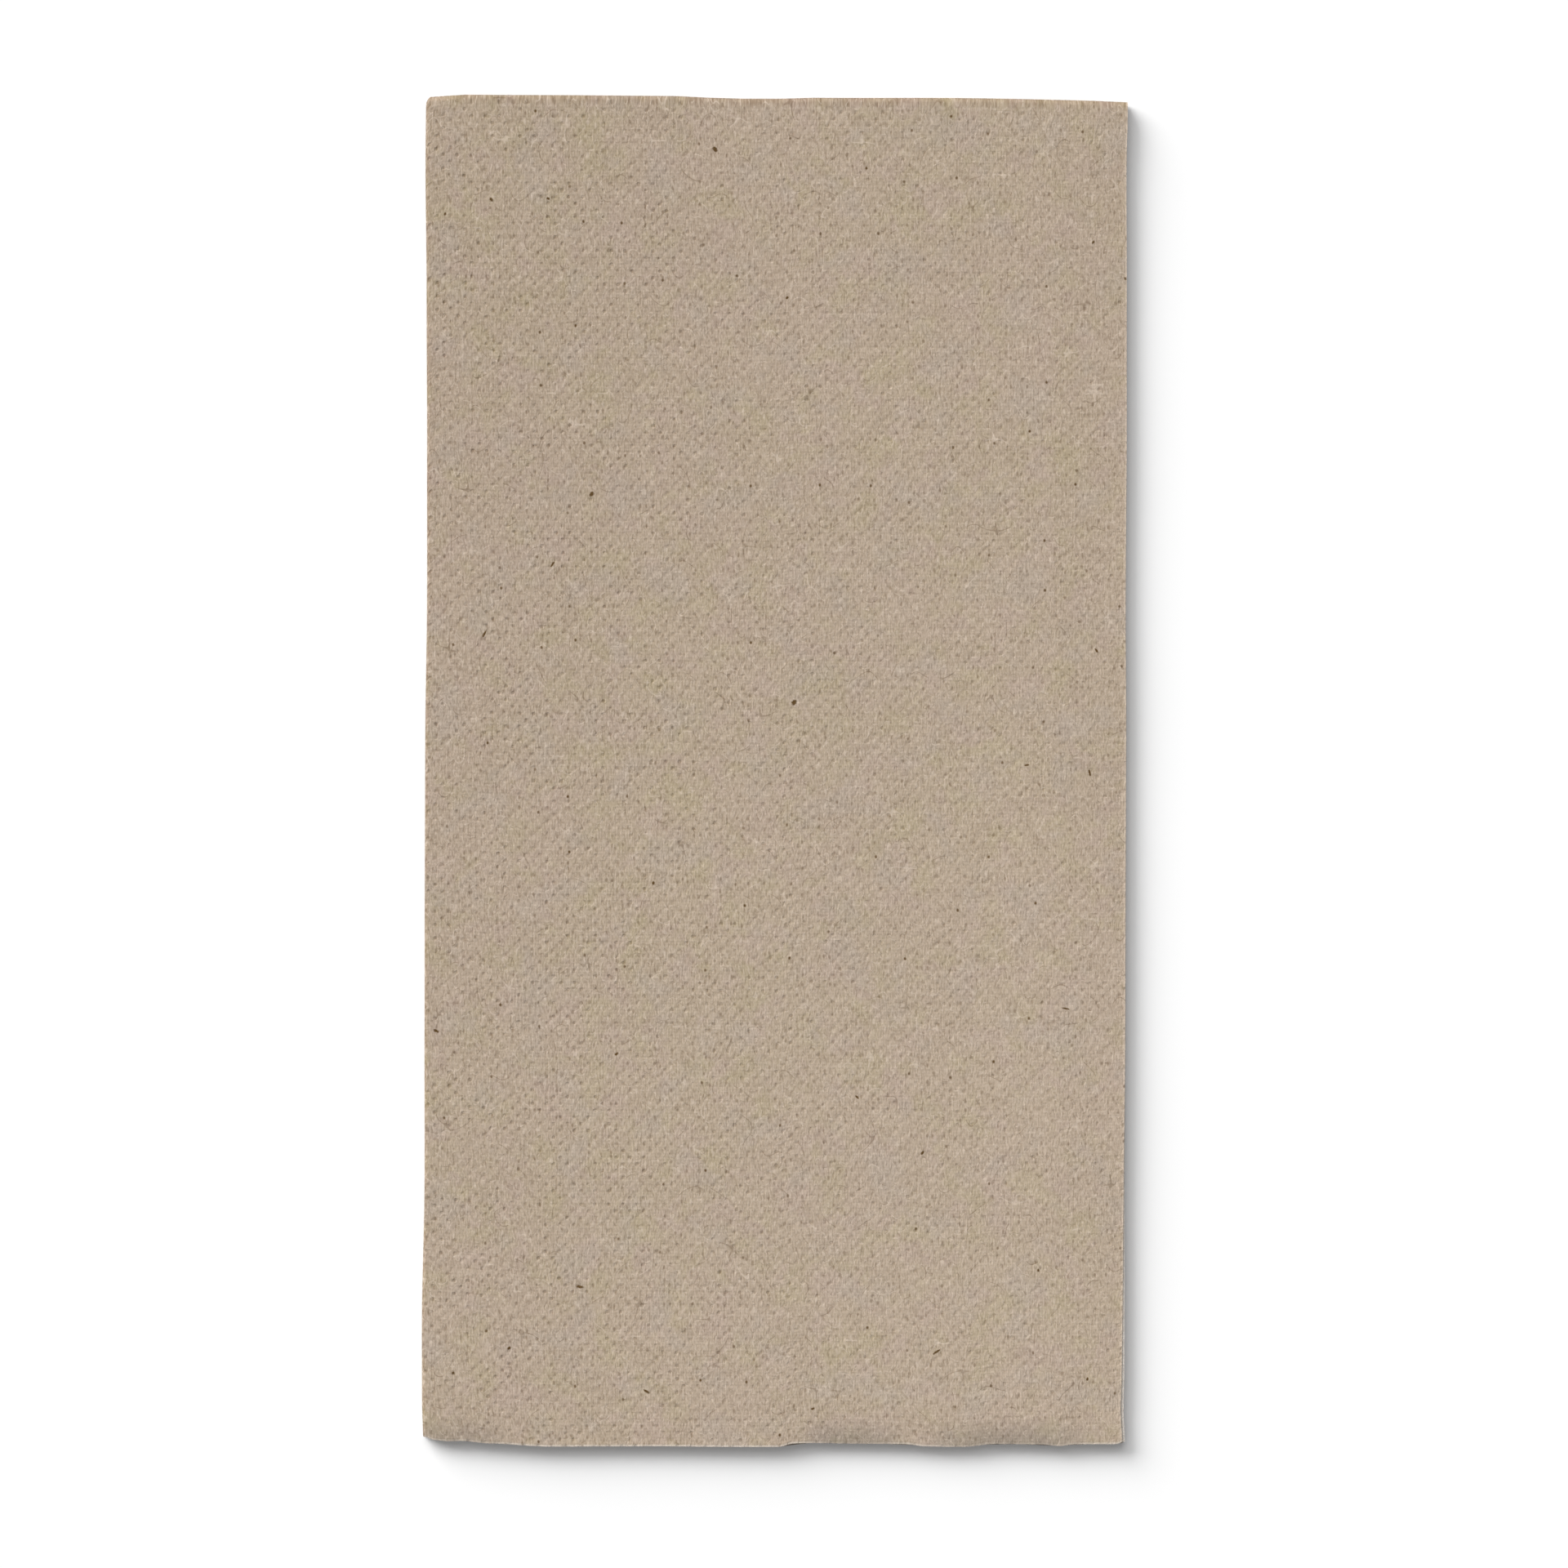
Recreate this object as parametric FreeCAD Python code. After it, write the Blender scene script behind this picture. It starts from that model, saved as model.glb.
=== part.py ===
import FreeCAD, Part
import math
import os

# A dinner napkin: one sheet of soft embossed paper, folded in half twice lengthwise and once across.
# X runs across the folded napkin with its cut edges on the right, Y runs along it to the cross fold,
# and Z is up from the table. The origin is on the table, under the middle of the napkin.

# Driving dimensions, in millimetres
sheet_width = 400.0          # the unfolded sheet, across the two long folds
sheet_length = 384.0         # the unfolded sheet, along the two long folds
paper_thickness = 0.20       # both plies, pressed together by the embossing
layer_gap = 0.12             # air left between neighbouring layers
first_fold_setback = 0.20    # the first long fold stays this far inside the cut edges
edge_drift = 0.60            # the top layer's cut edge falls this far behind at the open end
corner_pullback = 0.90       # the open end is this much shorter beside the long folds
pullback_length = 9.5        # width of the stretch that runs back to that corner
cut_corner_radius = 0.70     # corner of the open end at the cut edges
cutter_margin = 1.0          # cutting tools reach this far past the paper

# The strip is what the two long folds leave: four layers, stacked at one pitch. Layers are counted
# outwards from the cross fold's axis, and the cross fold doubles them to eight.
strip_layers = 4
innermost, second, third, outermost = range(strip_layers)
layer_pitch = paper_thickness + layer_gap
half_paper = paper_thickness / 2


def layer_offset(layer):
    """Distance of a layer's middle from the axis of the cross fold."""
    return (layer + 0.5) * layer_pitch


def turn_radius(layer, other_layer):
    """Radius, at the paper's middle, of the half turn that joins two layers."""
    return abs(layer - other_layer) * layer_pitch / 2


outer_long_radius = turn_radius(outermost, innermost)
inner_long_radius = turn_radius(third, second)
first_fold_radius = turn_radius(innermost, second)
strip_middle = strip_layers * layer_pitch / 2

# The paper doesn't stretch, so what the turns use up is taken from the straight runs.
turns_across = math.pi * (outer_long_radius + inner_long_radius + first_fold_radius)
first_fold_inset = first_fold_setback + first_fold_radius + half_paper
strip_run = (sheet_width - turns_across + 2 * first_fold_inset) / 4
panel_length = (sheet_length - math.pi * strip_middle) / 2

long_fold_reach = outer_long_radius + half_paper
cross_fold_reach = layer_offset(outermost) + half_paper
folded_width = strip_run + long_fold_reach
folded_length = panel_length + cross_fold_reach
folded_height = 2 * cross_fold_reach

long_fold_x = long_fold_reach - folded_width / 2
cut_edge_x = folded_width / 2
first_fold_x = cut_edge_x - first_fold_inset
open_end_y = -folded_length / 2
cross_fold_y = open_end_y + panel_length
cross_fold_z = cross_fold_reach

# The sheet's four runs across the strip, from one cut edge to the other: out to the long fold and
# round it, under everything to the first fold, and back between the other two.
sheet_runs = [
    (cut_edge_x, long_fold_x, outermost),
    (long_fold_x, first_fold_x, innermost),
    (first_fold_x, long_fold_x, second),
    (long_fold_x, cut_edge_x, third),
]


def half_turn(start, end, outwards):
    """Semicircle from one layer to another, bulging to the right for 1 and to the left for -1."""
    radius = abs(end.z - start.z) / 2
    middle = (start + end) / 2 + FreeCAD.Vector(outwards * radius, 0, 0)
    return Part.Arc(start, middle, end).toShape()


def paper_side(side):
    """Edges of one side of the sheet in the strip's section, with the first and the last point."""
    edges = []
    first_point = None
    last_point = None
    for start_x, end_x, layer in sheet_runs:
        heading = math.copysign(1, end_x - start_x)
        height = cross_fold_z + layer_offset(layer) + side * heading * half_paper
        start = FreeCAD.Vector(start_x, cross_fold_y, height)
        end = FreeCAD.Vector(end_x, cross_fold_y, height)
        if last_point is None:
            first_point = start
        else:
            edges.append(half_turn(last_point, start, -heading))
        edges.append(Part.makeLine(start, end))
        last_point = end
    return edges, first_point, last_point


def strip_section():
    """Section of the four-layer strip, cut at the start of the cross fold."""
    face_edges, face_start, face_end = paper_side(1)
    back_edges, back_start, back_end = paper_side(-1)
    cut_edges = [Part.makeLine(face_start, back_start), Part.makeLine(face_end, back_end)]
    outline = Part.Wire(Part.__sortEdges__(face_edges + back_edges + cut_edges))
    return Part.Face(outline)


def folded_sheet():
    """The strip run out as the upper half, turned about the cross fold and run back as the lower."""
    section = strip_section()
    axis_point = FreeCAD.Vector(0, cross_fold_y, cross_fold_z)
    axis_direction = FreeCAD.Vector(-1, 0, 0)
    to_open_end = FreeCAD.Vector(0, -panel_length, 0)
    upper_half = section.extrude(to_open_end)
    cross_fold = section.revolve(axis_point, axis_direction, 180)
    lower_half = section.rotated(axis_point, axis_direction, 180).extrude(to_open_end)
    return upper_half.fuse([cross_fold, lower_half]).removeSplitter()


def plan_cutter(edges, bottom, top):
    """Upright cutting tool with the given outline, drawn at height zero."""
    outline = Part.Face(Part.Wire(Part.__sortEdges__(edges)))
    outline.translate(FreeCAD.Vector(0, 0, bottom))
    return outline.extrude(FreeCAD.Vector(0, 0, top - bottom))


def drift_cutter():
    """Wedge that takes the top layer's cut edge back, from nothing at the cross fold."""
    past_end = open_end_y - cutter_margin
    drift_past_end = edge_drift * (panel_length + cutter_margin) / panel_length
    corners = [
        FreeCAD.Vector(cut_edge_x, cross_fold_y, 0),
        FreeCAD.Vector(cut_edge_x - drift_past_end, past_end, 0),
        FreeCAD.Vector(cut_edge_x + cutter_margin, past_end, 0),
        FreeCAD.Vector(cut_edge_x + cutter_margin, cross_fold_y, 0),
    ]
    edges = Part.makePolygon(corners + corners[:1]).Edges
    under_top_layer = cross_fold_z + outermost * layer_pitch
    return plan_cutter(edges, under_top_layer, folded_height + cutter_margin)


def long_fold_corner_cutter():
    """Shallow arc that shortens the open end towards the long folds, on all eight layers."""
    left_x = -folded_width / 2
    level_x = left_x + pullback_length
    arc_radius = (pullback_length ** 2 + corner_pullback ** 2) / (2 * corner_pullback)
    arc_centre = FreeCAD.Vector(level_x, open_end_y + arc_radius, 0)
    half_angle = math.asin(pullback_length / arc_radius) / 2
    level_point = FreeCAD.Vector(level_x, open_end_y, 0)
    corner_point = FreeCAD.Vector(left_x, open_end_y + corner_pullback, 0)
    to_arc_middle = FreeCAD.Vector(-math.sin(half_angle), -math.cos(half_angle), 0)
    arc_middle = arc_centre + to_arc_middle * arc_radius
    outside = [
        corner_point,
        FreeCAD.Vector(left_x - cutter_margin, corner_point.y, 0),
        FreeCAD.Vector(left_x - cutter_margin, open_end_y - cutter_margin, 0),
        FreeCAD.Vector(level_x, open_end_y - cutter_margin, 0),
        level_point,
    ]
    edges = Part.makePolygon(outside).Edges
    edges.append(Part.Arc(level_point, arc_middle, corner_point).toShape())
    return plan_cutter(edges, -cutter_margin, folded_height + cutter_margin)


def cut_edge_corner_cutter():
    """Rounds the corner between the open end and the cut edges, on all eight layers."""
    arc_start = FreeCAD.Vector(cut_edge_x - cut_corner_radius, open_end_y, 0)
    arc_end = FreeCAD.Vector(cut_edge_x, open_end_y + cut_corner_radius, 0)
    diagonal = cut_corner_radius * math.sqrt(0.5)
    arc_centre = FreeCAD.Vector(arc_start.x, arc_end.y, 0)
    arc_middle = arc_centre + FreeCAD.Vector(diagonal, -diagonal, 0)
    outside = [
        arc_end,
        FreeCAD.Vector(cut_edge_x + cutter_margin, arc_end.y, 0),
        FreeCAD.Vector(cut_edge_x + cutter_margin, open_end_y - cutter_margin, 0),
        FreeCAD.Vector(arc_start.x, open_end_y - cutter_margin, 0),
        arc_start,
    ]
    edges = Part.makePolygon(outside).Edges
    edges.append(Part.Arc(arc_start, arc_middle, arc_end).toShape())
    return plan_cutter(edges, -cutter_margin, folded_height + cutter_margin)


def napkin():
    """The folded sheet with its worn-in edges, as one solid."""
    cutters = [drift_cutter(), long_fold_corner_cutter(), cut_edge_corner_cutter()]
    return folded_sheet().cut(cutters)


os.makedirs("parts", exist_ok=True)
shape = napkin()
shape.exportStep("parts/napkin.step")
box = shape.optimalBoundingBox()
flat_volume = sheet_width * sheet_length * paper_thickness
print(f"folded size {box.XLength:.2f} x {box.YLength:.2f} x {box.ZLength:.2f} mm")
print(f"solids {len(shape.Solids)}, faces {len(shape.Faces)}, valid {shape.isValid()}")
print(f"paper volume {shape.Volume:.0f} mm3, and {flat_volume:.0f} mm3 as a flat sheet")
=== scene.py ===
# %% [markdown]
# # A folded paper napkin
# The napkin is one sheet of soft brown paper with a pin emboss all over it. It is folded in half twice
# lengthwise and once across, so eight layers lie on each other. The visual piece is made the way the real
# one is: a flat sheet is ruled, folded, given its thickness, embossed, and left to settle on the table.
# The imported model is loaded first, because it says where the folded napkin lies and how large it is. All
# lengths are in metres, unless a comment says otherwise.

# %% Load the frame and measure the folded napkin
import math

import bpy
import numpy as np
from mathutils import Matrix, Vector


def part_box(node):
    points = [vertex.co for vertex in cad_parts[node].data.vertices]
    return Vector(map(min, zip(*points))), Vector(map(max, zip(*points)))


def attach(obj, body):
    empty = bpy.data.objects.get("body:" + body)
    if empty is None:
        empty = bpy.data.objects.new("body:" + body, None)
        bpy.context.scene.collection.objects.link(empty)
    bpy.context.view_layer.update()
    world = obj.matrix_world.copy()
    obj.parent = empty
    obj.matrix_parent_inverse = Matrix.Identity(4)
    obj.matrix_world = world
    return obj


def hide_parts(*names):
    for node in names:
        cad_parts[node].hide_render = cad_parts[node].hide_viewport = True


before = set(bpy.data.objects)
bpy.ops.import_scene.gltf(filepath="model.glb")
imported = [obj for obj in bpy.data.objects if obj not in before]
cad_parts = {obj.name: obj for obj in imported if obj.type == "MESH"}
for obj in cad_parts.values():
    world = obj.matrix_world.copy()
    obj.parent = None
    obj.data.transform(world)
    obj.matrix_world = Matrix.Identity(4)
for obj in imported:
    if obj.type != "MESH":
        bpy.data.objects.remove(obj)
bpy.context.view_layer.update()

low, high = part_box("napkin")
folded_width = high.x - low.x
folded_length = high.y - low.y
folded_height = high.z - low.z


def in_mm(sides):
    return " x ".join(f"{side * 1000:.2f}" for side in sides) + " mm"


print("folded napkin:", in_mm((folded_width, folded_length, folded_height)))

# %% [markdown]
# ## Camera
# The photograph looks straight down on the napkin, and a long lens keeps the sides of the stack out of
# sight. The camera's place and its slight roll follow from where the napkin lies in the picture, counted
# in pixels from the top left corner.

# %% Place the camera
picture_size = 1920
napkin_middle_px = (949.0, 943.0)
napkin_length_px = 1653.0
napkin_turn = math.radians(0.22)
lens_mm = 150.0
metres_per_px = folded_length / napkin_length_px

camera_data = bpy.data.cameras.new("camera_above")
camera_data.lens = lens_mm
camera = bpy.data.objects.new("camera_above", camera_data)
bpy.context.scene.collection.objects.link(camera)
frame_width = picture_size * metres_per_px
camera_height = frame_width * lens_mm / camera_data.sensor_width
right_of_middle = (picture_size / 2 - napkin_middle_px[0]) * metres_per_px
below_middle = (picture_size / 2 - napkin_middle_px[1]) * metres_per_px
camera.location = (right_of_middle, -below_middle, folded_height + camera_height)
camera.rotation_euler = (0, 0, napkin_turn)
bpy.context.scene.camera = camera
print(f"the camera is {camera_height * 1000:.0f} mm above the paper and sees {frame_width * 1000:.1f} mm")

# %% [markdown]
# ## Light
# Two soft lights stand at the top of the picture: a window to the left, and a weaker one overhead. So the
# shadow falls to the right and below, and its edge is wide. The rest of the light comes evenly from all
# round. The shares add up to one, at which a colour renders as it is written.

# %% Place the lights
even_share = 0.24
soft_lights = [
    ("window_light", (-1.75, 1.72, 1.0), 45, 0.48),
    ("overhead_light", (-0.25, 0.72, 1.0), 45, 0.28),
]
for name, towards, width, share in soft_lights:
    towards = Vector(towards).normalized()
    lamp_data = bpy.data.lights.new(name, "SUN")
    lamp_data.energy = share * math.pi / towards.z
    lamp_data.angle = math.radians(width)
    lamp = bpy.data.objects.new(name, lamp_data)
    bpy.context.scene.collection.objects.link(lamp)
    lamp.rotation_euler = towards.to_track_quat("Z", "Y").to_euler()
    print(f"{name} gives {share:.0%} of the light on the paper")

world = bpy.data.worlds.new("even_light")
world.use_nodes = True
bpy.context.scene.world = world
around = world.node_tree.nodes["Background"]
around.inputs["Color"].default_value = (1, 1, 1, 1)
around.inputs["Strength"].default_value = even_share
bpy.context.scene.view_settings.view_transform = "Standard"

# %% [markdown]
# ## Shader maths
# A finish is a network of nodes, and written out node by node it is hard to read. So a number on the
# surface is wrapped in a small class, and plus, minus and times add the Math nodes. Every other node comes
# from one method, which takes the kind of node, its settings and its inputs.

# %% A number on the surface, and a finish that adds nodes
class Amount:
    """A number that changes over the surface."""

    def __init__(self, finish, socket):
        self.finish = finish
        self.socket = socket

    def maths(self, operation, *terms):
        inputs = dict(enumerate(terms))
        return self.finish.node("ShaderNodeMath", {"operation": operation}, inputs)["Value"]

    def __add__(self, other):
        return self.maths("ADD", self, other)

    __radd__ = __add__

    def __mul__(self, other):
        return self.maths("MULTIPLY", self, other)

    __rmul__ = __mul__

    def __sub__(self, other):
        return self.maths("SUBTRACT", self, other)

    def __rsub__(self, other):
        return self.maths("SUBTRACT", other, self)

    def cosine(self):
        return self.maths("COSINE", self)

    def size(self):
        return self.maths("ABSOLUTE", self)

    def at_most(self, top_value):
        return self.maths("MINIMUM", self, top_value)

    def above(self, start, full):
        """0 up to start, 1 from full on, and a soft rise between them. It falls where full is less."""
        settings = {"interpolation_type": "SMOOTHSTEP"}
        inputs = {"Value": self, "From Min": start, "From Max": full}
        return self.finish.node("ShaderNodeMapRange", settings, inputs)["Result"]


class Finish:
    """A material whose nodes are added by name."""

    def __init__(self, name):
        self.material = bpy.data.materials.new(name)
        self.material.use_nodes = True
        self.tree = self.material.node_tree
        self.surface = self.tree.nodes["Principled BSDF"]

    def node(self, kind, settings, inputs):
        """Adds one node and gives back its outputs by name. An input goes by its name or its number."""
        added = self.tree.nodes.new(kind)
        for name, value in settings.items():
            setattr(added, name, value)
        shown = {socket.name: socket for socket in added.inputs if socket.enabled}
        for name, value in inputs.items():
            socket = shown[name] if isinstance(name, str) else added.inputs[name]
            self.feed(socket, value)
        return {output.name: Amount(self, output) for output in added.outputs if output.enabled}

    def feed(self, socket, value):
        """Links an amount to a socket, or sets the socket to a plain value."""
        if isinstance(value, Amount):
            self.tree.links.new(value.socket, socket)
        else:
            socket.default_value = value

    def mixed(self, share, under, over, blend="MIX"):
        """One colour laid over another by a share from 0 to 1."""
        settings = {"data_type": "RGBA", "blend_type": blend}
        inputs = {"Factor": share, "A": under, "B": over}
        return self.node("ShaderNodeMix", settings, inputs)["Result"]

    def grey(self, amount):
        """The same amount of red, green and blue."""
        parts = {"Red": amount, "Green": amount, "Blue": amount}
        return self.node("ShaderNodeCombineColor", {}, parts)["Color"]


print("plus, minus and times now add Math nodes")

# %% [markdown]
# ## The table
# The first finish is that of the table. What the camera sees of it is white, so it keeps only the napkin's
# shadow. What it throws back on the napkin is as little as grey card would, so the folded edges don't glow.

# %% Lay the table
table_width = 4.0
seen_shade = 0.97
thrown_back_shade = 0.40
seen_glow = 0.06
bpy.ops.object.select_all(action="DESELECT")
bpy.ops.mesh.primitive_plane_add(size=table_width, location=(0, 0, 0))
table = bpy.context.object
table.name = "table"
table_finish = Finish("white_table")
table_finish.surface.inputs["Roughness"].default_value = 1.0
table_finish.surface.inputs["Specular IOR Level"].default_value = 0.0
light_path = table_finish.node("ShaderNodeLightPath", {}, {})
seen = light_path["Is Camera Ray"] + light_path["Is Glossy Ray"] + light_path["Is Transmission Ray"]
seen = seen.at_most(1.0)
shade = seen * (seen_shade - thrown_back_shade) + thrown_back_shade
table_finish.feed(table_finish.surface.inputs["Base Color"], table_finish.grey(shade))
table_finish.feed(table_finish.surface.inputs["Emission Color"], table_finish.grey(seen * seen_glow))
table_finish.surface.inputs["Emission Strength"].default_value = 1.0
table.data.materials.append(table_finish.material)
print("the table is white and keeps the napkin's shadow")

# %% [markdown]
# ## Rule the flat sheet
# The sheet is taken to be 400 x 384 mm, a usual size for a dinner napkin of these proportions, and as thin
# as two plies pressed together. Before it is folded, it is ruled with the lines that the folds need: a
# straight run gets even steps, and a fold gets short ones. Each step of a run holds the same number of
# emboss pins, so the pits can be cut into it later.

# %% Sizes of the sheet and of its folds
sheet_width = 0.400
sheet_length = 0.384
paper = 0.00020
layer_gap = 0.00012
first_fold_setback = 0.00020

layer_pitch = paper + layer_gap
layer_offsets = [(layer + 0.5) * layer_pitch for layer in range(4)]
innermost, second, third, outermost = layer_offsets
outer_long_radius = (outermost - innermost) / 2
inner_long_radius = (third - second) / 2
first_fold_radius = (second - innermost) / 2
strip_middle = 2 * layer_pitch

turns_across = math.pi * (outer_long_radius + inner_long_radius + first_fold_radius)
first_fold_inset = first_fold_setback + first_fold_radius + paper / 2
strip_run = (sheet_width - turns_across + 2 * first_fold_inset) / 4
panel_length = (sheet_length - math.pi * strip_middle) / 2
cross_turn = math.pi * strip_middle
cut_edge_x = folded_width / 2
long_fold_x = cut_edge_x - strip_run
open_end_y = -folded_length / 2
cross_fold_y = open_end_y + panel_length
cross_fold_z = folded_height / 2
print(f"a run across is {strip_run * 1000:.2f} mm and a panel is {panel_length * 1000:.2f} mm long")

# %% Work out the ruled lines
pins_across = 50
pins_along = 100
pin_pitch_x = strip_run / pins_across
pin_pitch_y = panel_length / pins_along
run_steps = 20
panel_steps = 40
cuts_per_step = 9
shorter_run = strip_run - first_fold_inset
pieces_across = [
    (strip_run, run_steps),
    (math.pi * outer_long_radius, 6),
    (shorter_run, run_steps),
    (math.pi * first_fold_radius, 4),
    (shorter_run, run_steps),
    (math.pi * inner_long_radius, 4),
    (strip_run, run_steps),
]
pieces_along = [(panel_length, panel_steps), (cross_turn, 8), (panel_length, panel_steps)]


def ruled_lines(pieces):
    """Distances of the lines from the sheet's edge, for pieces of a length and a number of steps."""
    lines = [0.0]
    for length, steps in pieces:
        start = lines[-1]
        lines += [start + length * (step + 1) / steps for step in range(steps)]
    return np.array(lines)


lines_across = ruled_lines(pieces_across)
lines_along = ruled_lines(pieces_along)
columns = len(lines_across) - 1
rows = len(lines_along) - 1
print(f"{columns} x {rows} steps, and the emboss repeats every", in_mm((pin_pitch_x, pin_pitch_y)))

# %% Add the flat sheet
bpy.ops.object.select_all(action="DESELECT")
bpy.ops.mesh.primitive_grid_add(x_subdivisions=columns, y_subdivisions=rows, size=1.0, location=(0, 0, 0))
napkin = bpy.context.object
napkin.name = "folded_napkin"
napkin.data.name = "folded_napkin"


def places(mesh):
    found = np.empty(len(mesh.vertices) * 3)
    mesh.vertices.foreach_get("co", found)
    return found.reshape(-1, 3)


def move_to(mesh, points):
    mesh.vertices.foreach_set("co", np.ascontiguousarray(points).ravel())
    mesh.update()


def remember(mesh, name, numbers):
    """Keeps a number with each point, which cutting and thickening the sheet then carry along."""
    layer = mesh.attributes.new(name, "FLOAT", "POINT")
    layer.data.foreach_set("value", np.asarray(numbers, np.float32))


def recalled(mesh, name):
    found = np.empty(len(mesh.vertices), np.float32)
    mesh.attributes[name].data.foreach_get("value", found)
    return found.astype(float)


unit = places(napkin.data) + 0.5
column = np.rint(unit[:, 0] * columns)
row = np.rint(unit[:, 1] * rows)
remember(napkin.data, "column", column)
remember(napkin.data, "row", row)
remember(napkin.data, "across", lines_across[column.astype(int)])
remember(napkin.data, "along", lines_along[row.astype(int)])
print(f"the flat sheet has {len(napkin.data.vertices)} points")

# %% [markdown]
# ## Fold it
# Paper bends but doesn't stretch, so a fold is a rule that turns a place on the flat sheet into a place in
# space. Across the sheet there are four straight runs joined by half turns: two nested long folds on the
# left, and the first fold inside the stack on the right. The cross fold then turns the whole strip over.
# The folding machine presses the bends, so they are squarer than a half circle.

# %% The two folding rules
# A point belongs to a piece of the sheet from the piece's first line on, apart from rounding.
squareness = 3.2
rounding = 1e-9


def pressed_round(angle):
    """How far a fold's bend is pressed out towards a square, as a share of its radius."""
    return (np.abs(np.sin(angle)) ** squareness + np.abs(np.cos(angle)) ** squareness) ** (-1 / squareness)


def folded_across(across):
    """Where the strip's section lies at a distance across the sheet: x, and height off the cross fold."""
    x = np.zeros_like(across)
    height = np.zeros_like(across)
    first_fold_x = cut_edge_x - first_fold_inset
    straight = [
        (cut_edge_x, -1, outermost),
        (long_fold_x, 1, innermost),
        (first_fold_x, -1, second),
        (long_fold_x, 1, third),
    ]
    start = 0.0
    for number, (length, _) in enumerate(pieces_across):
        inside = across >= start - rounding
        into = across[inside] - start
        start_x, heading, layer = straight[number // 2]
        if number % 2 == 0:
            x[inside] = start_x + heading * into
            height[inside] = layer
        else:
            next_x, _, next_layer = straight[number // 2 + 1]
            angle = math.pi * into / length
            middle = (layer + next_layer) / 2
            bend = pressed_round(angle)
            x[inside] = next_x + heading * length / math.pi * np.sin(angle) * bend
            height[inside] = middle + (layer - middle) * np.cos(angle) * bend
        start += length
    return x, height


def folded_along(height, along):
    """Carries a height off the cross fold's axis round the cross fold."""
    angle = np.clip((along - panel_length) / cross_turn, 0, 1) * math.pi
    before = np.minimum(along, panel_length)
    after = np.maximum(along - panel_length - cross_turn, 0)
    bend = pressed_round(angle)
    y = open_end_y + before - after + height * np.sin(angle) * bend
    z = cross_fold_z + height * np.cos(angle) * bend
    return y, z


print(f"the cross fold takes {cross_turn * 1000:.2f} mm of the paper at the middle of the strip")

# %% Fold the sheet
across = recalled(napkin.data, "across")
along = recalled(napkin.data, "along")
section_x, section_height = folded_across(across)
folded_y, folded_z = folded_along(section_height, along)
move_to(napkin.data, np.stack([section_x, folded_y, folded_z], 1))
print("the folded sheet, measured at the paper's middle:", in_mm(np.ptp(places(napkin.data), axis=0)))

# %% [markdown]
# ## Give it thickness
# So far the sheet has no thickness. Solidify moves one copy of it half a thickness to each side and closes
# the edges. Which of the two sides is the outside of the folded napkin is kept with each point, because
# only that side is embossed in the mesh.

# %% Thicken the paper
points_before = len(napkin.data.vertices)
thicken = napkin.modifiers.new("thicken", "SOLIDIFY")
thicken.thickness = paper
thicken.offset = 0.0
thicken.use_even_offset = True
bpy.ops.object.modifier_apply(modifier="thicken")
heights = places(napkin.data)[:, 2]
lines_in = 5
inside_top_panel = lines_in * (columns + 1) + lines_in
second_copy_is_outer = heights[points_before + inside_top_panel] > heights[inside_top_panel]
is_second_copy = np.arange(len(napkin.data.vertices)) >= points_before
remember(napkin.data, "outer", is_second_copy == second_copy_is_outer)
print("with its thickness:", in_mm(np.ptp(places(napkin.data), axis=0)))

# %% [markdown]
# ## Emboss the outer face
# The paper was pressed between a steel roller with fine pins and a soft one. Each pin left a small round
# pit, and the paper between the pits stands up a little. The pits lie in staggered rows, and no two are
# pressed alike. Towards the cut edge, where the photograph shows the paper pressed flat, they get
# shallower. On the face that shows, each step of the ruled sheet is cut finer, so that a line of the mesh
# passes through every pit.

# %% Cut the upper face finer
# A point that lies past a ruled line by less than the slack still counts as on it.
line_slack = 1e-7


def faces_where(mesh, point_is_in):
    """Which faces have only points that are in."""
    faces = len(mesh.polygons)
    corners = np.empty(len(mesh.loops), np.int32)
    mesh.loops.foreach_get("vertex_index", corners)
    starts = np.empty(faces, np.int32)
    mesh.polygons.foreach_get("loop_start", starts)
    return np.logical_and.reduceat(point_is_in[corners], starts)


def on_upper_face(mesh):
    outer = recalled(mesh, "outer") > 0.5
    in_run = recalled(mesh, "across") < strip_run + line_slack
    in_panel = recalled(mesh, "along") < panel_length + line_slack
    return outer & in_run & in_panel


bpy.context.tool_settings.mesh_select_mode = (False, False, True)
bpy.ops.object.mode_set(mode="EDIT")
bpy.ops.mesh.select_all(action="DESELECT")
bpy.ops.object.mode_set(mode="OBJECT")
napkin.data.polygons.foreach_set("select", faces_where(napkin.data, on_upper_face(napkin.data)))
bpy.ops.object.mode_set(mode="EDIT")
bpy.ops.mesh.subdivide(number_cuts=cuts_per_step, quadcorner="INNERVERT", ngon=True)
bpy.ops.object.mode_set(mode="OBJECT")
print(f"the sheet now has {len(napkin.data.polygons)} faces")

# %% Press the pins into it
# The pits stop just before the folds. Near the cut edge their depth falls to the shallow share.
pit_depth = 0.000085
crown_height = 0.000020
shallow_width = 0.010
shallow_share = 0.45
rng = np.random.default_rng(7)
pin_force = rng.uniform(0.35, 1.35, (2 * pins_across + 1, 2 * pins_along + 1))

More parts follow.
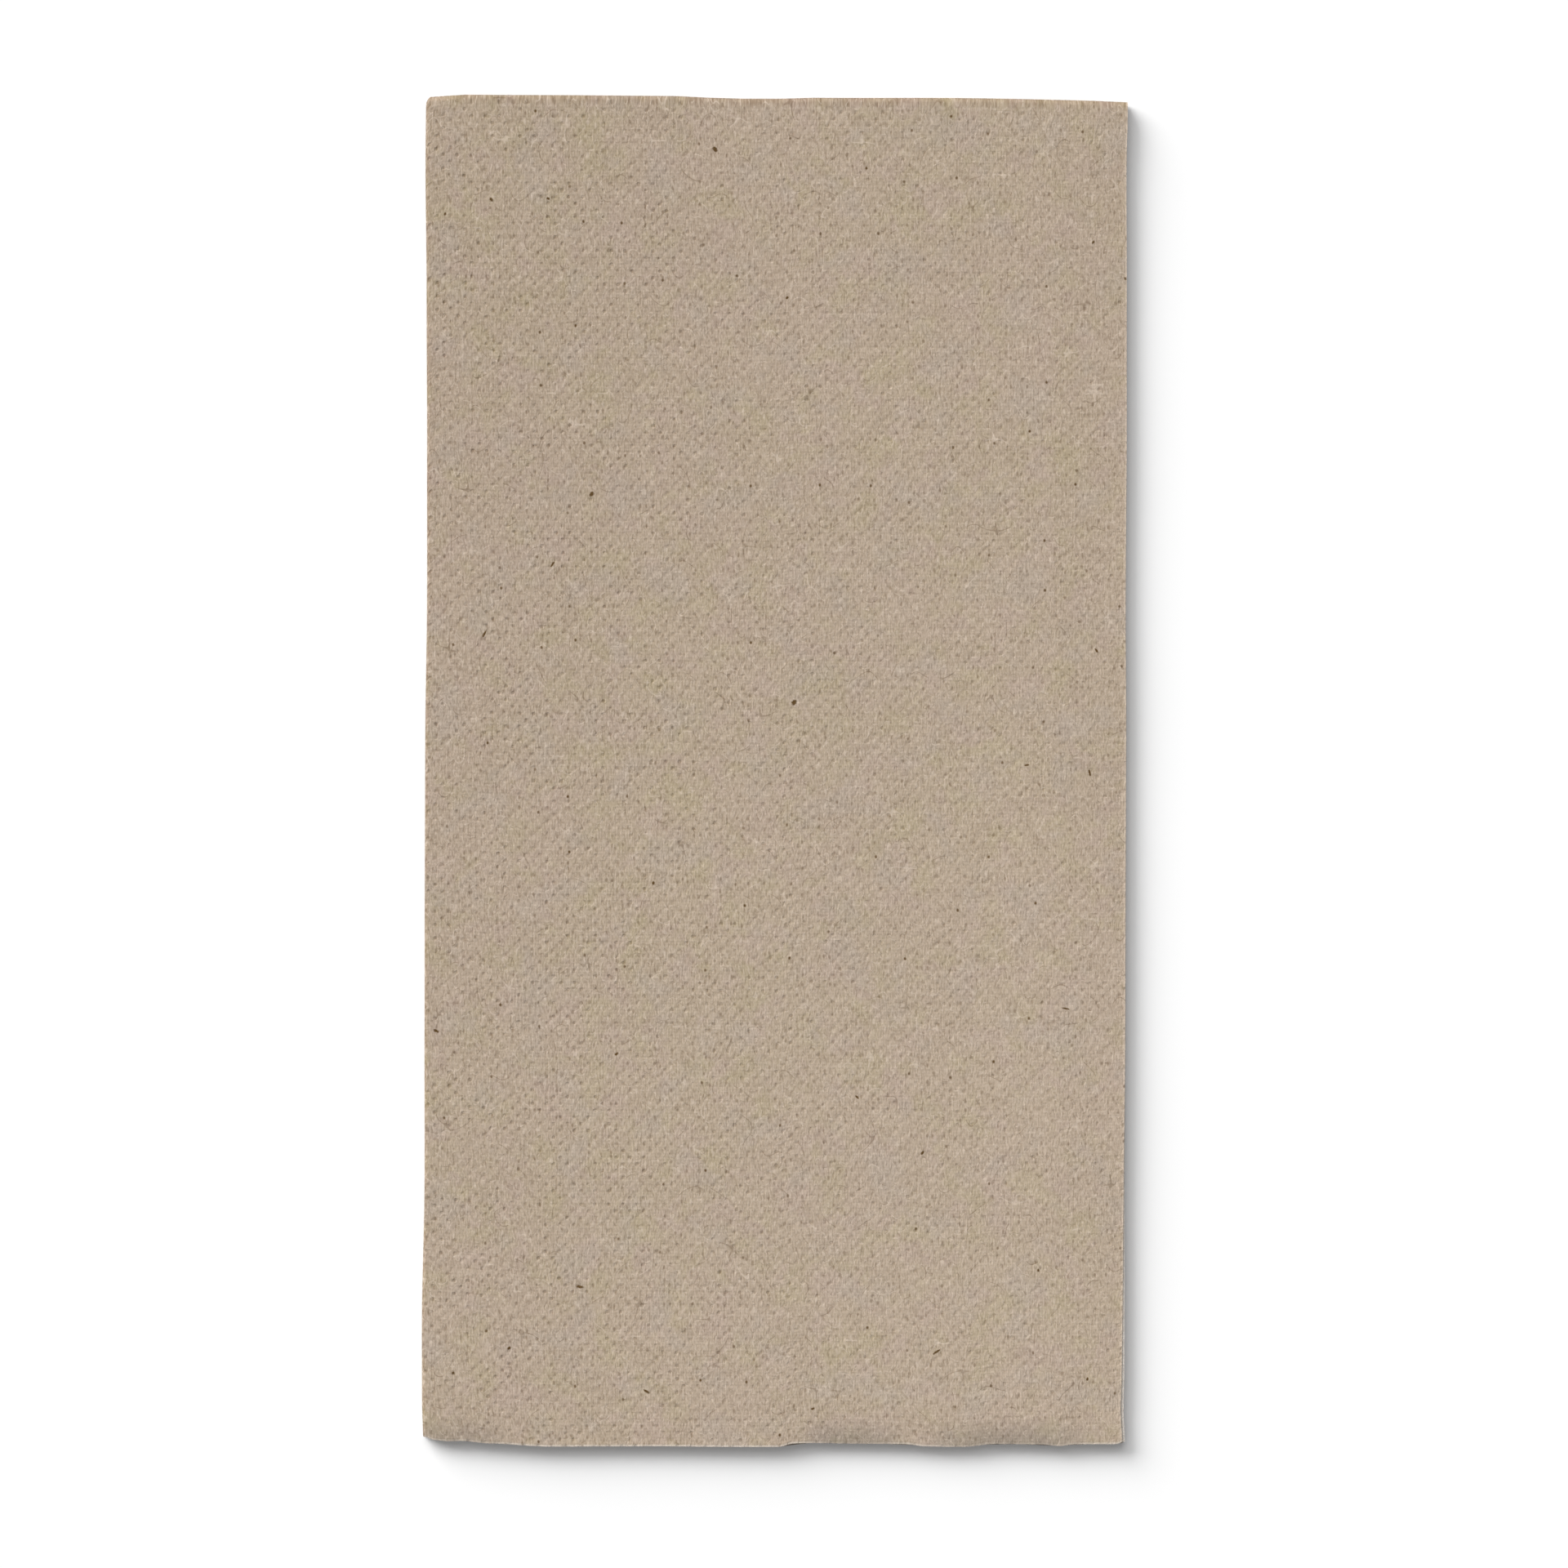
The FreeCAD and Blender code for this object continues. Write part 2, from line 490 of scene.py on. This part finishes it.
points = places(napkin.data)
across = recalled(napkin.data, "across")
along = recalled(napkin.data, "along")
from_folds = np.minimum(strip_run - across, panel_length - along)
pressed = on_upper_face(napkin.data) & (from_folds > pin_pitch_x / 8)
pin_wave = np.cos(2 * math.pi * across / pin_pitch_x) * np.cos(2 * math.pi * along / pin_pitch_y)
half_pitch_x = np.clip(np.rint(2 * across / pin_pitch_x).astype(int), 0, 2 * pins_across)
half_pitch_y = np.clip(np.rint(2 * along / pin_pitch_y).astype(int), 0, 2 * pins_along)
force = pin_force[half_pitch_x, half_pitch_y] * np.clip(across / shallow_width, shallow_share, 1)
press = crown_height * np.maximum(-pin_wave, 0) - pit_depth * force * np.maximum(pin_wave, 0)
points[pressed, 2] += press[pressed]
move_to(napkin.data, points)
print(f"{int((pin_wave[pressed] > 0.9).sum())} pits of {pit_depth * 1000:.3f} mm")

# %% [markdown]
# ## Let it settle
# A machine-folded napkin is never quite straight. Its edges wander by a fraction of a millimetre, the open
# end is pressed thinner in places, and the cut edges curl up a little. All of these are gentle moves of the
# space that the napkin lies in, so that no layer can pass through the next.

# %% How the four edges wander
# Each edge has a few places along it, in millimetres from its middle, each with how far the paper lies
# outside the straight line there, also in millimetres.
long_fold_wander = [
    (-96, -0.30), (-91, -0.14), (-80, -0.07), (-59, -0.38), (-38, -0.29), (-17, -0.24), (4, -0.23),
    (25, -0.42), (46, -0.34), (67, -0.20), (88, 0.04), (96, 0.0),
]
cut_edge_wander = [
    (-96, 0.09), (-91.3, -0.13), (-87, -0.02), (-80, -0.02), (-59, -0.09), (-38, -0.02), (-17, -0.06),
    (4, -0.07), (25, -0.23), (46, -0.18), (67, -0.25), (88, -0.38), (93, -0.25), (96, -0.22),
]
cross_fold_wander = [
    (-50.2, -0.95), (-49.4, -0.33), (-48.7, -0.03), (-47, 0.24), (-44, -0.03), (-32, -0.02),
    (-15, -0.07), (-7.4, -0.36), (-2.2, -0.48), (4.8, -0.26), (12, -0.27), (19, -0.22), (27, -0.21),
    (35, -0.33), (41, -0.43), (45.5, -0.54), (48.0, -0.44), (49.6, -0.52), (50.3, -0.80),
]
open_end_wander = [
    (-49.5, -0.1), (-48.7, 0.08), (-47, 0.02), (-44, -0.28), (-40.6, -0.07), (-32, 0.34), (-24, 0.28),
    (-16, 0.23), (-7.4, 0.28), (-2, 0.28), (0.6, 0.27), (3.0, -0.24), (5.0, -0.30), (12, -0.21),
    (18.8, -0.19), (21.8, 0.12), (24.8, 0.17), (27.2, 0.16), (31.6, -0.26), (35.6, -0.24), (38.4, -0.22),
    (41.0, 0.0), (43.3, -0.26), (46.5, -0.29), (48.3, -0.28), (49.4, -0.33), (50.2, -0.65),
]


def wander(places_and_moves, along_edge):
    """A smooth line through the given places, in metres."""
    stations, moves = np.array(places_and_moves).T / 1000
    span = np.clip(np.searchsorted(stations, along_edge) - 1, 0, len(stations) - 2)
    share = np.clip((along_edge - stations[span]) / (stations[span + 1] - stations[span]), 0, 1)
    ease = share * share * (3 - 2 * share)
    return moves[span] * (1 - ease) + moves[span + 1] * ease


wander_tables = [long_fold_wander, cut_edge_wander, cross_fold_wander, open_end_wander]
furthest = max(abs(move) for edge in wander_tables for _, move in edge)
print(f"the edges wander by {furthest:.2f} mm at most")

# %% The fields that the napkin settles in
# A pressed place has its middle along the open end, its half width and its depth. The upper layer's cut
# edge drifts in from the one below, mostly at the corner, and is nipped down on it and thinner over a
# short way.
edge_drift = 0.0001
corner_drift = 0.00032
corner_reach = 0.0300
nip_length = 0.0100
nip_down = 0.00009
nip_thinner = 0.00010
corner_pullback = 0.0009
pullback_length = 0.0095
pressed_places = [(-0.045, 0.008, 0.00018), (0.011, 0.008, 0.00022), (0.034, 0.013, 0.00020)]
press_reach = 0.0030
corner_sharpness = 8
curl_height = 0.00003
curl_reach = 0.00025
lift_height = 0.00005
lift_reach = 0.0090
firmly_pressed = 0.00008
wave_height = 0.00006
wave_count = 7
longest_wave = 0.070
shortest_wave = 0.022


def slow_waves(x, y):
    """A sum of slow waves in random directions, about -1 to 1."""
    total = np.zeros_like(x)
    for _ in range(wave_count):
        length = rng.uniform(shortest_wave, longest_wave)
        heading = rng.uniform(0, math.pi)
        phase = rng.uniform(0, 2 * math.pi)
        total += np.sin(2 * math.pi * (x * math.cos(heading) + y * math.sin(heading)) / length + phase)
    return total / math.sqrt(wave_count)


def pressed_down(x, y):
    """How far the stack's top is pressed down at a place near the open end."""
    near_end = np.exp(-np.maximum(y - open_end_y, 0) / press_reach)
    loss = np.zeros_like(x)
    for middle, half_width, depth in pressed_places:
        loss += depth * np.exp(-(((x - middle) / half_width) ** 2)) * near_end
    return loss


def settled(points, outer):
    """Where points of the folded sheet come to rest; outer is 1 on its outer face."""
    x, y, z = points.T.copy()
    share_up = z / folded_height
    to_cross_fold = np.clip((y - open_end_y) / folded_length, 0, 1)
    to_cut_edge = np.clip((x + folded_width / 2) / folded_width, 0, 1)
    top_layer = (z > cross_fold_z + outermost - layer_pitch / 2) * 1.0

    near_corner = np.exp(-(((y - open_end_y) / corner_reach) ** 2)) * to_cut_edge ** corner_sharpness
    drift = (edge_drift * (1 - to_cross_fold) * to_cut_edge + corner_drift * near_corner) * top_layer
    into_corner = np.clip(1 - (x + folded_width / 2) / pullback_length, 0, 1)
    pulled = corner_pullback * into_corner ** 2 * (1 - to_cross_fold)
    moved_x = x - drift
    moved_x += wander(cut_edge_wander, y) * to_cut_edge
    moved_x -= wander(long_fold_wander, y) * (1 - to_cut_edge)
    moved_y = y + pulled
    moved_y += wander(cross_fold_wander, x) * to_cross_fold
    moved_y -= wander(open_end_wander, x) * (1 - to_cross_fold)

    waves = slow_waves(x, y) * wave_height
    down = pressed_down(x, y)
    end_curl = np.exp(-(y - open_end_y) / curl_reach) * np.clip(1 - down / firmly_pressed, 0, 1)
    curl = outer * top_layer * curl_height * (np.exp(-(cut_edge_x - x) / curl_reach) + end_curl)
    corner_distance = np.hypot(cut_edge_x - x, y - open_end_y)
    lift = lift_height * top_layer * np.exp(-((corner_distance / lift_reach) ** 2))
    to_edge = np.clip(1 - (cut_edge_x - x) / nip_length, 0, 1)
    off_fold = np.clip((cross_fold_y - y) / nip_length, 0, 1)
    nip = to_edge * off_fold * (nip_down + nip_thinner * outer) * top_layer
    moved_z = z - down * share_up + waves * share_up + curl + lift - nip
    return np.stack([moved_x, moved_y, moved_z], 1)


points = settled(places(napkin.data), recalled(napkin.data, "outer"))
points[:, 2] -= points[:, 2].min()
move_to(napkin.data, points)
print("settled:", in_mm(np.ptp(points, axis=0)))

# %% [markdown]
# ## Shade it
# The mesh is shaded as one smooth surface, so its steps don't show. Only where two faces meet at a sharper
# angle, as at the cut edges, does the paper keep a crisp edge.

# %% Shade it smooth, but keep the cut edges crisp
crisp_from = math.radians(50)
bpy.ops.object.mode_set(mode="EDIT")
bpy.ops.mesh.select_all(action="SELECT")
bpy.ops.mesh.normals_make_consistent(inside=False)
bpy.ops.object.mode_set(mode="OBJECT")
bpy.ops.object.shade_smooth_by_angle(angle=crisp_from)
napkin.data.calc_loop_triangles()
print(f"{len(napkin.data.loop_triangles)} triangles")

# %% [markdown]
# ## Two maps of the sheet
# The finish is drawn in metres on the flat sheet, so the first map gives each point its place there, and
# fibres and pits run on round the folds. The second map is for storing the finish as a picture. It gives
# most of its room to the two faces that show, and narrow bands to the hidden layers and the cut edges.

# %% Lay out the two maps
corners = np.empty(len(napkin.data.loops), np.int32)
napkin.data.loops.foreach_get("vertex_index", corners)
corner_counts = np.empty(len(napkin.data.polygons), np.int32)
napkin.data.polygons.foreach_get("loop_total", corner_counts)
starts = np.concatenate([[0], np.cumsum(corner_counts)[:-1]])
face_of_corner = np.repeat(np.arange(len(corner_counts)), corner_counts)
kept_names = ["across", "along", "column", "row", "outer"]
kept = {name: recalled(napkin.data, name)[corners] for name in kept_names}


def lowest_of_face(numbers):
    return np.minimum.reduceat(numbers, starts)[face_of_corner]


def highest_of_face(numbers):
    return np.maximum.reduceat(numbers, starts)[face_of_corner]


def write_map(name, across_map, up_map):
    layer = napkin.data.uv_layers.new(name=name, do_init=False)
    layer.uv.foreach_set("vector", np.stack([across_map, up_map], 1).astype(np.float32).ravel())


while napkin.data.uv_layers:
    napkin.data.uv_layers.remove(napkin.data.uv_layers[0])
write_map("Sheet", kept["across"], kept["along"])

shows_to = strip_run + math.pi * outer_long_radius
upper_to = panel_length + cross_turn
is_outer = lowest_of_face(kept["outer"]) > 0.5
is_cut = highest_of_face(kept["outer"]) - lowest_of_face(kept["outer"]) > 0.5
is_shown = is_outer & (highest_of_face(kept["across"]) < shows_to + line_slack)
is_upper = is_shown & (highest_of_face(kept["along"]) < upper_to + line_slack)
is_lower = is_shown & ~is_upper
is_hidden = is_outer & ~is_shown

# Each band of the stored picture has its start and its width, as shares of the picture.
upper_start, upper_width = 0.004, 0.500
lower_start, lower_width = 0.512, 0.320
hidden_start, hidden_width = 0.835, 0.085
inner_start, inner_width = 0.929, 0.043
cuts_start, cut_step, cut_width = 0.9755, 0.0060, 0.0045
margin = 0.004


def up_the_picture(share):
    return margin + (1 - 2 * margin) * share


column_share = kept["column"] / columns
shown_share = kept["across"] / shows_to
across_map = inner_start + inner_width * column_share
across_map[is_hidden] = hidden_start + hidden_width * column_share[is_hidden]
across_map[is_upper] = upper_start + upper_width * shown_share[is_upper]
across_map[is_lower] = lower_start + lower_width * shown_share[is_lower]
up_map = up_the_picture(kept["row"] / rows)
up_map[is_upper] = up_the_picture(kept["along"] / upper_to)[is_upper]
up_map[is_lower] = up_the_picture((kept["along"] - upper_to) / (sheet_length - upper_to))[is_lower]

face_width = highest_of_face(kept["across"]) - lowest_of_face(kept["across"])
at_side = is_cut & (face_width < line_slack)
at_far_side = kept["across"] > sheet_width / 2
at_far_end = kept["along"] > sheet_length / 2
band_start = cuts_start + cut_step * np.where(at_side, at_far_side, 2 + at_far_end)
across_map[is_cut] = (band_start + cut_width * kept["outer"])[is_cut]
up_map[is_cut & ~at_side] = up_the_picture(column_share)[is_cut & ~at_side]
write_map("OFBake", across_map, up_map)
napkin.data.uv_layers.active = napkin.data.uv_layers["Sheet"]
napkin.data.uv_layers["Sheet"].active_render = True
print(f"{int(is_upper.sum())} corners of the upper face fill half of the stored picture")

# %% [markdown]
# ## The paper's finish
# Unbleached pulp is never one colour. Broad clouds lean to olive, pink and grey, fine fibres run with the
# paper machine, pale and dark hairs lie in it, and specks of bark show as brown flecks. All of it is drawn
# from noise on the flat sheet's own map, at the sizes seen in the photograph.

# %% Where the finish is drawn
# Every pattern below is given by how it is stretched across and along the sheet, by a shift that sets it
# apart from the other patterns, and by the size of its features.
paper_finish = Finish("unbleached_tissue")
sheet_place = paper_finish.node("ShaderNodeUVMap", {"uv_map": "Sheet"}, {})["UV"]
sheet_parts = paper_finish.node("ShaderNodeSeparateXYZ", {}, {"Vector": sheet_place})
place_across, place_along = sheet_parts["X"], sheet_parts["Y"]


def stretched(across_factor, along_factor, shift=0.0):
    """The place on the sheet, drawn out along one direction and shifted for another pattern."""
    inputs = {"X": place_across * across_factor + shift, "Y": place_along * along_factor + shift, "Z": 0.0}
    return paper_finish.node("ShaderNodeCombineXYZ", {}, inputs)["Vector"]


def cloud(vector, feature, detail=1.0):
    """Soft noise from 0 to 1 with features of a size in metres."""
    inputs = {"Vector": vector, "Scale": 1 / feature, "Detail": detail, "Roughness": 0.55}
    return paper_finish.node("ShaderNodeTexNoise", {"noise_dimensions": "2D"}, inputs)["Fac"]


def cells(vector, feature):
    """Distance from the nearest of many scattered spots, in cells, and two random numbers for each spot."""
    inputs = {"Vector": vector, "Scale": 1 / feature}
    found = paper_finish.node("ShaderNodeTexVoronoi", {"voronoi_dimensions": "2D"}, inputs)
    chance = paper_finish.node("ShaderNodeSeparateXYZ", {}, {"Vector": found["Color"]})
    return found["Distance"], chance["X"], chance["Y"]


print("the finish is drawn on the map", napkin.data.uv_layers.active.name)

# %% The emboss, as the shader sees it
# The mesh has its pits on the upper face only. The shader draws the same pattern on every face, as relief
# and as painted shade in the pits, with painted light on the paper between them. Their force varies from pin
# to pin and from patch to patch, and falls towards the cut edge.
turn_x = 2 * math.pi / pin_pitch_x
turn_y = 2 * math.pi / pin_pitch_y
pin_pattern = (place_across * turn_x).cosine() * (place_along * turn_y).cosine()
uneven_force = cloud(stretched(1, 1, 3.1), 0.0016, 0.0).above(0.28, 0.62)
uneven_force = uneven_force * (cloud(stretched(1, 1, 6.7), 0.0080, 1.0).above(0.34, 0.66) * 0.7 + 0.65)
uneven_force = uneven_force * (place_across.above(0.0, strip_run) * 0.5 + 0.75)
pit = pin_pattern.above(0.45, 1.0) * uneven_force
# Painted shade in the pits and painted light on the paper between them.
painted_emboss_shading = pin_pattern * (uneven_force * 0.6 + 0.4)
print(f"the emboss takes {len(paper_finish.tree.nodes)} nodes")

# %% [markdown]
# ## Fibres, specks and flecks
# Most fibres lie the way the paper ran through the machine, so their noise is drawn out along the sheet.
# Specks and flecks are bits of bark: scattered spots, of which only some are kept. The largest flecks catch
# the eye, so they are set one by one where the photograph shows them.

# %% Fibres, specks and hairs
fine_grain = cloud(stretched(1, 0.29, 1.7), 0.00021, 1.0) - 0.5
streak = cloud(stretched(1, 0.10, 8.6), 0.00023, 1.0) - 0.5
felt = cloud(stretched(1, 0.8, 5.3), 0.00062, 1.0) - 0.5
unevenness = cloud(stretched(1, 1, 13.3), 0.0028, 2.0) - 0.5
speck_distance, speck_chance, speck_depth = cells(stretched(1, 0.62, 2.3), 0.00078)
speck = speck_distance.above(0.34, 0.10) * speck_chance.above(0.40, 0.95) * (0.6 + 0.8 * speck_depth)
fleck_distance, fleck_chance, fleck_depth = cells(stretched(1, 0.8, 7.9), 0.0060)
fleck = fleck_distance.above(0.044, 0.014) * fleck_chance.above(0.52, 0.56) * (0.4 + 0.6 * fleck_depth)
pale_distance, pale_chance, _ = cells(stretched(1, 0.5, 9.4), 0.0010)
pale = pale_distance.above(0.28, 0.08) * pale_chance.above(0.55, 0.95)


def hairs(shift, feature, width, rarity):
    """Thin curved lines: where a cloud crosses its middle value, kept only in scattered places."""
    line = (cloud(stretched(1, 0.8, shift), feature, 0.0) - 0.5).size().above(width, width * 0.3)
    return line * cloud(stretched(1, 1, shift + 4.2), feature * 0.7, 0.0).above(rarity, rarity + 0.05)


dark_hair = hairs(11.0, 0.0042, 0.012, 0.62)
pale_hair = hairs(17.0, 0.0036, 0.014, 0.60)
dark_stroke = hairs(23.0, 0.0011, 0.045, 0.54)
pale_stroke = hairs(27.0, 0.0010, 0.050, 0.54)
print(f"with fibres, specks and hairs there are {len(paper_finish.tree.nodes)} nodes")

# %% The largest flecks, one by one
# Each is given on the face that shows: its place from the middle, its half length and half width, all in
# millimetres, and its slant in degrees.
large_flecks = [
    (2.6, 9.7, 0.38, 0.31, 52), (-26.5, 39.3, 0.37, 0.26, 59), (-8.7, 88.7, 0.40, 0.27, 126),
    (-40.7, 81.1, 0.27, 0.20, 135), (23.4, -82.6, 0.60, 0.15, 34), (35.9, 0.9, 0.34, 0.13, 3),
    (21.2, -54.3, 0.33, 0.16, 58), (-37.6, -82.4, 0.28, 0.16, 42), (44.9, -0.1, 0.50, 0.14, 103),
    (-18.0, -88.3, 0.45, 0.16, 147), (-22.6, -40.3, 0.26, 0.17, 38), (-27.6, -73.4, 0.46, 0.19, 170),
    (1.5, 67.6, 0.22, 0.18, 83), (-48.4, -37.7, 0.39, 0.19, 158), (-41.8, 19.2, 0.57, 0.14, 62),
    (5.8, -91.2, 0.25, 0.15, 24), (11.8, -46.6, 0.29, 0.14, 136), (45.9, 17.4, 0.35, 0.14, 119),
    (-32.6, 81.3, 0.23, 0.17, 152), (-17.4, -16.0, 0.25, 0.16, 83), (-32.1, 29.3, 0.39, 0.15, 58),
    (41.6, -33.7, 0.52, 0.11, 164), (45.1, -86.8, 0.25, 0.15, 80), (45.3, 75.8, 0.22, 0.16, 60),
]
ragged = (cloud(stretched(1, 1, 51.0), 0.00020, 1.0) - 0.5) * 0.9
large_fleck = 0.0
for from_left, from_below, half_length, half_width, slant in large_flecks:
    spot = (cut_edge_x - from_left / 1000, from_below / 1000 - open_end_y, 0)
    turn = (0, 0, math.radians(180 - slant))
    half_sizes = (half_length / 1000, half_width / 1000, 1)
    mapping_inputs = {"Vector": sheet_place, "Location": spot, "Rotation": turn, "Scale": half_sizes}
    inside = paper_finish.node("ShaderNodeMapping", {"vector_type": "TEXTURE"}, mapping_inputs)["Vector"]
    away = paper_finish.node("ShaderNodeVectorMath", {"operation": "LENGTH"}, {0: inside})["Value"]
    large_fleck = (away + ragged).above(1.40, 0.74) + large_fleck
print(f"{len(large_flecks)} flecks placed one by one")

# %% [markdown]
# ## Cut edges, and painted shade on bends and the open end
# A cut edge is paler, because its loose fibres scatter more light, and it also carries a painted highlight.
# The layer that peeps out under the upper cut edge is painted lighter, as painted light against the shade
# that the upper edge throws on it. The bends get painted shade, so that they don't glow where they face the
# light.
# Where the open end is pressed down and curves away from the light, it gets painted shade.

# %% Where the sheet was cut, and where it bends
# A place of painted shade on the open end has its middle and its half width, in millimetres, and how dark it
# is painted. A painted light gradient falls slowly from the open end to the cross fold, and from the cut
# edge to the long fold.
cut_side_width = 0.00040
bend_margin = 0.0003
end_shade_places = [(-45, 9, 0.30), (11, 9, 0.42), (34, 15, 0.44)]
end_shade_length = 0.0042

from_middle_across = (place_across - sheet_width / 2).size()
from_middle_along = (place_along - sheet_length / 2).size()
# Pale loose fibres along both cut edges, with a painted highlight where the edge catches the light.
pale_cut_and_highlight = from_middle_across.above(sheet_width / 2 - cut_side_width, sheet_width / 2)
# The strip under the upper cut edge, painted lighter against the shade that the upper edge throws on it.
painted_light_strip = place_across.above(sheet_width - 0.0010, sheet_width - 0.0005)
# Pale fibres along the open end, with a painted highlight.
pale_end_and_highlight = from_middle_along.above(sheet_length / 2 - 0.00034, sheet_length / 2 - 0.00016)
middle_fold = from_middle_along.above(cross_turn / 2 + bend_margin, cross_turn / 8)
long_turn = math.pi * outer_long_radius
from_long_fold = (place_across - (strip_run + long_turn / 2)).size()
long_fold = from_long_fold.above(long_turn / 2 + bend_margin, long_turn / 8)
# Painted shade on the bends, so that they don't glow where they face the light.
painted_bend_shade = middle_fold * 0.40 + long_fold * 0.32
# Painted shade on the pressed places of the open end, where the paper curves down away from the light.
painted_end_shade = 0.0
for middle, half_width, strength in end_shade_places:
    from_shade_place = (place_across - (cut_edge_x - middle / 1000)).size()
    window = from_shade_place.above(half_width / 1000, half_width / 3000)
    painted_end_shade = window * strength + painted_end_shade
painted_end_shade = painted_end_shade * place_along.above(end_shade_length, 0.0002)
# A painted light gradient: lighter towards the open end and the cut edge, darker towards the cross fold and
# the long fold.
painted_light_gradient = (place_along * (math.pi / (panel_length + cross_turn / 2))).cosine() * 0.030
painted_light_gradient = (place_across * (math.pi / strip_run)).cosine() * 0.024 + painted_light_gradient
print(f"{len(end_shade_places)} dull places on the open end")

# %% [markdown]
# ## From patterns to colour
# The colour starts as plain pulp and takes each pattern in turn, from the broad clouds to the flecks that
# lie on top. The grain, which also carries painted light and painted shade, is a share of one step of
# colour, half of which is taken off first. So it can darken as well as brighten, and it doesn't change the
# hue.

# %% Colours of the pulp
pulp = (0.462, 0.366, 0.281, 1)
olive = (0.446, 0.367, 0.248, 1)
rose = (0.466, 0.364, 0.294, 1)
ash = (0.446, 0.368, 0.298, 1)
bark = (0.100, 0.052, 0.012, 1)
# Pale fibres, also used for the painted highlight on the cut edges.
pale_fibre_and_highlight = (0.700, 0.590, 0.485, 1)
# Pale frayed fibres, also used as painted light on the strip under the upper cut edge.
frayed_and_painted_light = (0.680, 0.630, 0.570, 1)
# The colour of the painted shade on the open end.
painted_shade_colour = (0.215, 0.195, 0.165, 1)
grain_step = (0.383, 0.337, 0.289, 1)

olive_share = cloud(stretched(1, 1, 21.0), 0.0056, 4.0).above(0.47, 0.70) * 0.54
olive_share = cloud(stretched(1, 1, 25.0), 0.0330, 1.0).above(0.35, 0.65) * 0.24 + olive_share
rose_share = cloud(stretched(1, 1, 31.0), 0.0050, 4.0).above(0.50, 0.70) * 0.7
ash_share = cloud(stretched(1, 1, 41.0), 0.0064, 4.0).above(0.50, 0.72) * 0.62
colour = paper_finish.mixed(olive_share, pulp, olive)
colour = paper_finish.mixed(rose_share, colour, rose)
colour = paper_finish.mixed(ash_share, colour, ash)
# Besides the fibres, the grain carries the painted light gradient, and the painted shade in the pits and on
# the bends.
grain_and_painted_shading = 0.507 + fine_grain * 0.74 + streak * 0.36 + felt * 0.08 + unevenness * 0.18 + painted_light_gradient
grain_and_painted_shading = grain_and_painted_shading - pit * 0.18 - painted_emboss_shading * 0.014 - painted_bend_shade
colour = paper_finish.mixed(0.5, colour, grain_step, "SUBTRACT")
colour = paper_finish.mixed(grain_and_painted_shading, colour, grain_step, "ADD")
# Painted shade where the open end is pressed down.
colour = paper_finish.mixed(painted_end_shade, colour, painted_shade_colour)
# Pale fibres with a painted highlight on the cut edges and the open end, and painted light on the strip
# under the upper cut edge.
colour = paper_finish.mixed(pale_cut_and_highlight * 0.50, colour, pale_fibre_and_highlight)
colour = paper_finish.mixed(painted_light_strip * 0.98, colour, frayed_and_painted_light)
colour = paper_finish.mixed(pale_end_and_highlight * (0.45 - painted_end_shade * 0.7), colour, frayed_and_painted_light)
colour = paper_finish.mixed(pale * 0.35, colour, pale_fibre_and_highlight)
colour = paper_finish.mixed(pale_stroke * 0.36, colour, pale_fibre_and_highlight)
colour = paper_finish.mixed(pale_hair * 0.40, colour, pale_fibre_and_highlight)
colour = paper_finish.mixed(speck * 0.30, colour, bark)
colour = paper_finish.mixed(dark_stroke * 0.22, colour, bark)
colour = paper_finish.mixed(dark_hair * 0.35, colour, bark)
colour = paper_finish.mixed(fleck * 0.95, colour, bark)
colour = paper_finish.mixed(large_fleck * 0.95, colour, bark)
print(f"with the colours there are {len(paper_finish.tree.nodes)} nodes")

# %% [markdown]
# ## Relief
# Fibres and the fine lines of the forming wire are too small for the mesh, so they only tilt the light on
# the surface. The paper is matt, with a little sheen from loose fibres.

# %% Relief and surface
# The relief counts in units of a tenth of a millimetre.
relief_unit = 0.0001
forming_pitch = 0.000444
forming_lines = (place_along * (2 * math.pi / forming_pitch)).cosine() * 0.03
relief = fine_grain * 0.30 + felt * 0.34 + forming_lines - pit * 0.32
bump_inputs = {"Height": relief, "Strength": 1.0, "Distance": relief_unit}
bumped = paper_finish.node("ShaderNodeBump", {}, bump_inputs)["Normal"]
paper_finish.feed(paper_finish.surface.inputs["Base Color"], colour)
paper_finish.feed(paper_finish.surface.inputs["Normal"], bumped)
paper_finish.surface.inputs["Roughness"].default_value = 0.92
paper_finish.surface.inputs["Specular IOR Level"].default_value = 0.15
paper_finish.surface.inputs["Sheen Weight"].default_value = 0.06
napkin.data.materials.clear()
napkin.data.materials.append(paper_finish.material)
print(f"the paper's finish has {len(paper_finish.tree.nodes)} nodes")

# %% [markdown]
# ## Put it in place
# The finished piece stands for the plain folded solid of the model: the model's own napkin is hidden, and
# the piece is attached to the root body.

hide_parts("napkin")
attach(napkin, "root")
